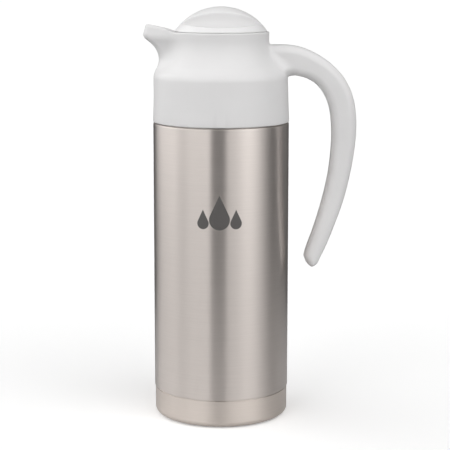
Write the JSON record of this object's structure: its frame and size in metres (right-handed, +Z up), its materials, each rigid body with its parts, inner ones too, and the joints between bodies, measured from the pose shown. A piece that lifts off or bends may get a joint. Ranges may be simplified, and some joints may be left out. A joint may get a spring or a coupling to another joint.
{
  "type": "vacuum-insulated pouring carafe",
  "caption": "Tall steel double-wall pouring carafe with a white plastic collar, beak spout, one-armed open handle and a domed twist-off insulated stopper.",
  "frame": {"origin": "centre of the underside of the base pad, on the vessel's axis", "axes": "+Z up along the vessel's axis, spout towards -X, handle towards +X, +Y away from the front"},
  "size_m": [0.1632, 0.1048, 0.3175],
  "materials": {
    "brushed_steel": "drawn stainless steel, finely brushed round the vessel, lacquer-free satin",
    "inner_steel": "drawn stainless steel, electropolished inside",
    "white_plastic": "moulded white polypropylene, fine satin",
    "stopper_plastic": "moulded white polypropylene, satin",
    "silicone": "translucent white silicone",
    "pad_rubber": "grey non-slip rubber",
    "foil": "bright thin foil",
    "getter": "pressed sintered metal powder",
    "braze": "solidified braze bead",
    "foam": "moulded closed-cell foam"
  },
  "bodies": {
    "vessel": {"base_pad": "pad_rubber", "base_cup": "brushed_steel", "outer_shell": "brushed_steel", "inner_liner": "inner_steel", "liner_bottom": "inner_steel", "vacuum_bottom": "inner_steel", "vacuum_seal": "braze", "radiation_foil": "foil", "getter_pellet": "getter", "getter_clip": "inner_steel", "retaining_ring": "inner_steel", "neck_gasket": "silicone", "shoulder_collar": "white_plastic", "handle_cover": "white_plastic"},
    "stopper_seal": {"main_seal": "silicone"},
    "stopper": {"stopper_body": "stopper_plastic", "stopper_base": "stopper_plastic", "stopper_insulation": "foam", "upper_seal": "silicone", "stopper_cap": "white_plastic"}
  },
  "joints": [
    {"name": "stopper_lift", "type": "slide", "parent": "vessel", "child": "stopper_seal", "axis": [0, 0, 1], "range_m": [0, 0.054]},
    {"name": "stopper_turn", "type": "hinge", "parent": "stopper_seal", "child": "stopper", "pos_m": [0, 0, 0.2985], "axis": [0, 0, 1], "range_deg": [0, 1620]}
  ],
  "couplings": [
    {"joint": "stopper_lift", "follows": "stopper_turn", "m_per_rad": 0.0019099}
  ]
}
